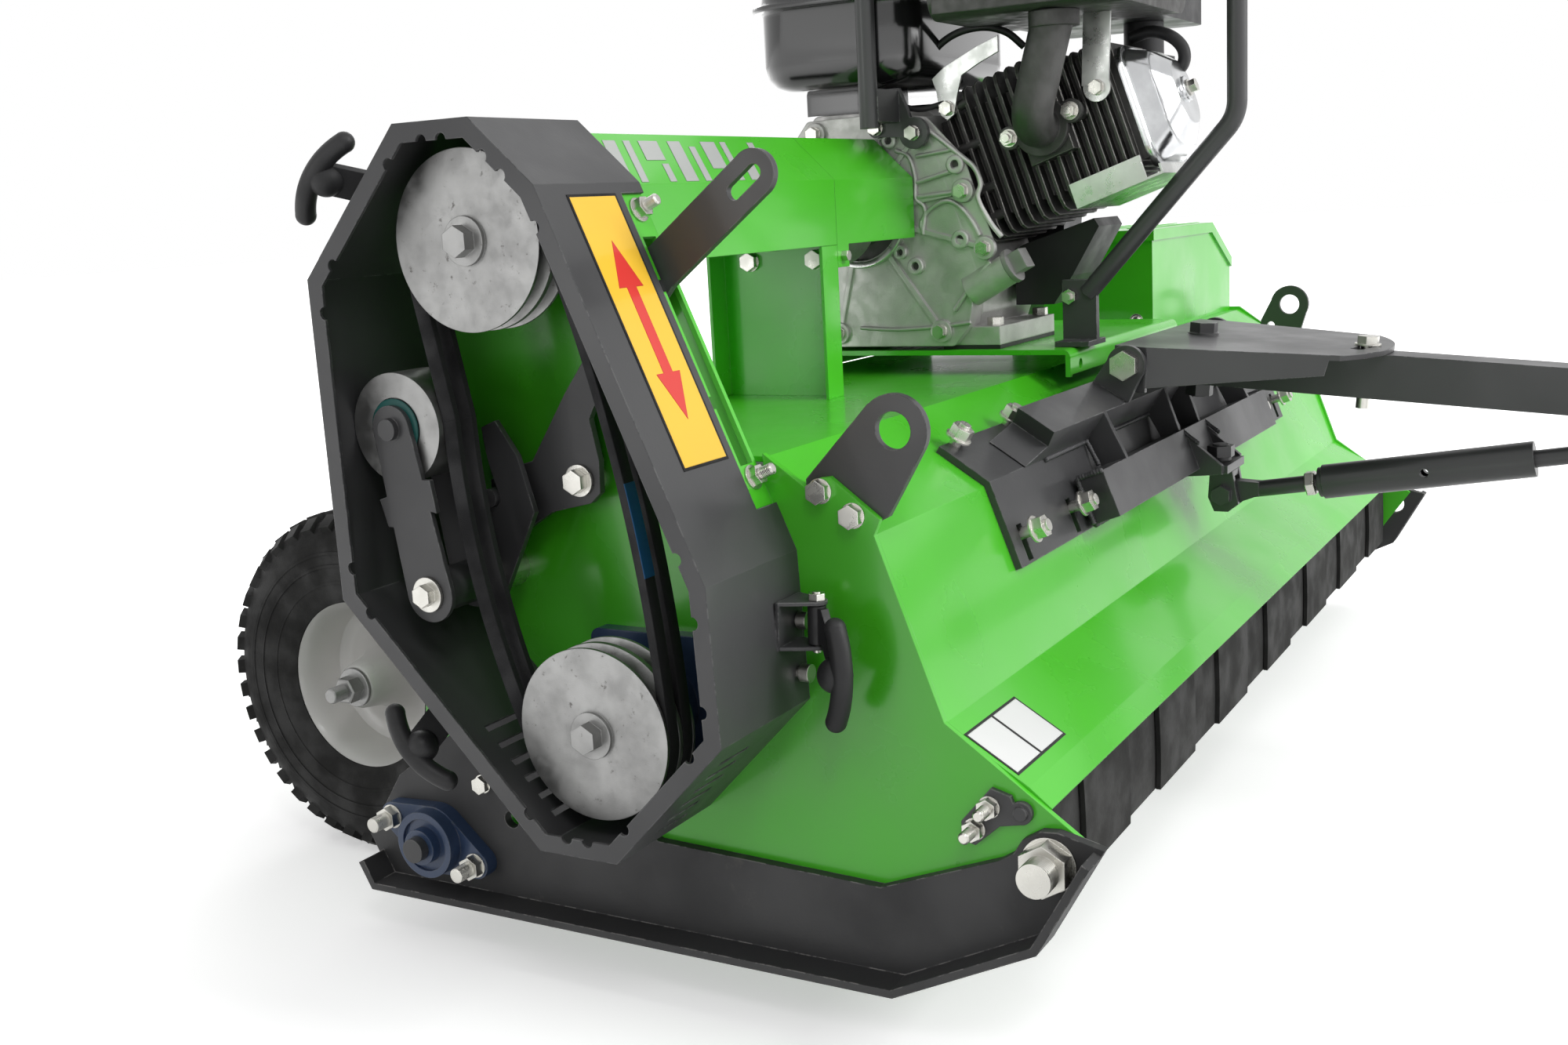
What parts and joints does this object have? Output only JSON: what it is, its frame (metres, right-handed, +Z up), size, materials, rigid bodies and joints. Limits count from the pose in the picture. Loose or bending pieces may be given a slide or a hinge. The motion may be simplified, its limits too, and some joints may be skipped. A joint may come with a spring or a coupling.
{
  "type": "towed flail mulching mower",
  "caption": "Green towed mulching flail mower for a quad bike: open belt case, engine with chrome valve cover, jacking drawbar, two rear wheels.",
  "frame": {"origin": "on the ground under the middle of the machine's overall box", "axes": "+Z up, -Y forward to the drawbar, -X the belt drive side"},
  "size_m": [1.481, 1.7833, 0.897],
  "materials": {
    "green_paint": "gloss",
    "grey_paint": "satin",
    "bright_steel": "satin",
    "zinc_plate": "satin",
    "blue_grey_paint": "satin",
    "cast_alloy": "matte",
    "black_cast": "matte",
    "chrome_plate": "gloss",
    "sooty_steel": "matte",
    "black_plastic": "gloss",
    "black_matte": "matte",
    "black_rubber": "matte",
    "flap_rubber": "matte",
    "tyre_rubber": "matte",
    "rim_paint": "gloss"
  },
  "bodies": {
    "chassis": {"deck_shell": "green_paint", "side_plate_near": "green_paint", "side_plate_far": "green_paint", "skids": "grey_paint", "belt_case": "grey_paint", "drive_tunnel": "green_paint", "clutch_cover": "green_paint", "tunnel_bracket": "green_paint", "engine_platform": "green_paint", "battery_box": "green_paint", "lifting_eyes": "grey_paint", "hitch_base": "grey_paint", "hitch_frame": "grey_paint", "flap_rod": "grey_paint", "bearing_housings": "blue_grey_paint", "wheel_arms": "grey_paint", "crankcase": "cast_alloy", "cylinder_barrel": "black_cast", "valve_cover": "chrome_plate", "engine_brackets": "zinc_plate", "oil_caps": "black_matte", "exhaust": "sooty_steel", "muffler": "sooty_steel", "fuel_tank": "black_plastic", "air_filter": "black_matte", "carburettor": "black_matte", "fan_shroud": "black_matte", "guard_frame": "grey_paint", "engine_mounts": "black_rubber", "belts": "black_rubber", "fasteners_deck": "zinc_plate", "fasteners_hitch": "zinc_plate", "fasteners_engine": "zinc_plate"},
    "drive": {"drive_pulley": "bright_steel", "drive_shaft": "bright_steel"},
    "rotor": {"rotor": "grey_paint", "rotor_pulley": "bright_steel"},
    "flails_low": {"flails_a": "grey_paint"},
    "flails_rear": {"flails_b": "grey_paint"},
    "flails_front": {"flails_c": "grey_paint"},
    "lever": {"lever": "grey_paint"},
    "tensioner": {"tensioner_arm": "grey_paint"},
    "tensioner_roller": {"tensioner_roller": "bright_steel"},
    "latch_front": {"latch_front": "black_rubber"},
    "latch_top": {"latch_top": "black_rubber"},
    "latch_low": {"latch_low": "black_rubber"},
    "roller": {"roller": "grey_paint"},
    "wheel_near": {"tyre_near": "tyre_rubber", "rim_near": "rim_paint"},
    "wheel_far": {"tyre_far": "tyre_rubber", "rim_far": "rim_paint"},
    "hitch_plate": {"hitch_plate": "grey_paint"},
    "drawbar": {"drawbar": "grey_paint", "drawbar_lug": "grey_paint", "lock_bolt": "zinc_plate"},
    "turnbuckle_swivel": {"turnbuckle_swivel": "grey_paint"},
    "turnbuckle_eye": {"turnbuckle_eye": "grey_paint"},
    "turnbuckle_tube": {"turnbuckle_tube": "grey_paint"},
    "turnbuckle_rod": {"turnbuckle_rod": "grey_paint"},
    "flaps": {"flaps": "flap_rubber"}
  },
  "joints": [
    {"name": "rotor_spin", "type": "hinge", "parent": "chassis", "child": "rotor", "pos_m": [0.037, 0.31169, 0.226], "axis": [1, 0, 0], "continuous": true},
    {"name": "drive_spin", "type": "hinge", "parent": "chassis", "child": "drive", "pos_m": [0.037, 0.38669, 0.57], "axis": [1, 0, 0], "continuous": true},
    {"name": "flails_low_swing", "type": "hinge", "parent": "rotor", "child": "flails_low", "pos_m": [0.037, 0.31169, 0.15], "axis": [1, 0, 0], "range_deg": [-80, 80]},
    {"name": "flails_rear_swing", "type": "hinge", "parent": "rotor", "child": "flails_rear", "pos_m": [0.037, 0.3775, 0.264], "axis": [1, 0, 0], "range_deg": [-1, 90]},
    {"name": "flails_front_swing", "type": "hinge", "parent": "rotor", "child": "flails_front", "pos_m": [0.037, 0.24587, 0.264], "axis": [1, 0, 0], "range_deg": [-90, 1]},
    {"name": "lever_turn", "type": "hinge", "parent": "chassis", "child": "lever", "pos_m": [0.037, 0.35969, 0.393], "axis": [1, 0, 0], "range_deg": [0, 44], "deforming": ["belts"]},
    {"name": "tensioner_turn", "type": "hinge", "parent": "chassis", "child": "tensioner", "pos_m": [0.037, 0.44269, 0.32], "axis": [1, 0, 0], "range_deg": [0, 11.5]},
    {"name": "tensioner_roller_spin", "type": "hinge", "parent": "tensioner", "child": "tensioner_roller", "pos_m": [0.037, 0.46469, 0.44], "axis": [1, 0, 0], "continuous": true},
    {"name": "roller_spin", "type": "hinge", "parent": "chassis", "child": "roller", "pos_m": [0.037, 0.53569, 0.088], "axis": [1, 0, 0], "continuous": true},
    {"name": "wheel_near_spin", "type": "hinge", "parent": "chassis", "child": "wheel_near", "pos_m": [0.037, 0.72669, 0.165], "axis": [1, 0, 0], "continuous": true},
    {"name": "wheel_far_spin", "type": "hinge", "parent": "chassis", "child": "wheel_far", "pos_m": [0.037, 0.72669, 0.165], "axis": [1, 0, 0], "continuous": true},
    {"name": "hitch_pitch", "type": "hinge", "parent": "chassis", "child": "hitch_plate", "pos_m": [0.021, 0.11069, 0.423], "axis": [1, 0, 0], "range_deg": [-4.59, 4.59]},
    {"name": "drawbar_yaw", "type": "hinge", "parent": "hitch_plate", "child": "drawbar", "pos_m": [0.021, 0.08277, 0.4208], "axis": [0, -0.0785, 0.9969], "range_deg": [-12, 12]},
    {"name": "swivel_turn", "type": "hinge", "parent": "chassis", "child": "turnbuckle_swivel", "pos_m": [0.021, 0.06469, 0.318], "axis": [0, 0, 1], "range_deg": [-12.9, 12.9]},
    {"name": "rod_pitch", "type": "hinge", "parent": "turnbuckle_swivel", "child": "turnbuckle_eye", "pos_m": [0.021, 0.05969, 0.279], "axis": [1, 0, 0], "range_deg": [-5, 5]},
    {"name": "turnbuckle_turn", "type": "hinge", "parent": "turnbuckle_eye", "child": "turnbuckle_tube", "pos_m": [0.021, 0.05969, 0.279], "axis": [0, -0.9893, 0.1461], "range_deg": [-1081, 1081]},
    {"name": "rod_slide", "type": "slide", "parent": "turnbuckle_eye", "child": "turnbuckle_rod", "axis": [0, -0.9893, 0.1461], "range_m": [-0.0121, 0.0121]},
    {"name": "flaps_swing", "type": "hinge", "parent": "chassis", "child": "flaps", "pos_m": [0.037, 0.02869, 0.177], "axis": [1, 0, 0], "range_deg": [-35, 40]},
    {"name": "latch_front_turn", "type": "hinge", "parent": "chassis", "child": "latch_front", "pos_m": [-0.639, 0.16769, 0.3], "axis": [0, -0.04, 0.9992], "range_deg": [-25, 20]},
    {"name": "latch_top_turn", "type": "hinge", "parent": "chassis", "child": "latch_top", "pos_m": [-0.675, 0.48369, 0.605], "axis": [0, -0.6749, 0.7379], "range_deg": [-40, 20]},
    {"name": "latch_low_turn", "type": "hinge", "parent": "chassis", "child": "latch_low", "pos_m": [-0.675, 0.45969, 0.228], "axis": [0, 0.696, 0.718], "range_deg": [-40, 12]}
  ],
  "couplings": [
    {"joint": "drive_spin", "follows": "rotor_spin", "ratio": 1},
    {"joint": "tensioner_turn", "follows": "lever_turn", "ratio": 0.26},
    {"joint": "swivel_turn", "follows": "drawbar_yaw", "ratio": 1.0646},
    {"joint": "turnbuckle_turn", "follows": "hitch_pitch", "ratio": -235.47},
    {"joint": "rod_pitch", "follows": "hitch_pitch", "ratio": 1.0802},
    {"joint": "rod_slide", "follows": "hitch_pitch", "m_per_rad": -0.1499}
  ]
}
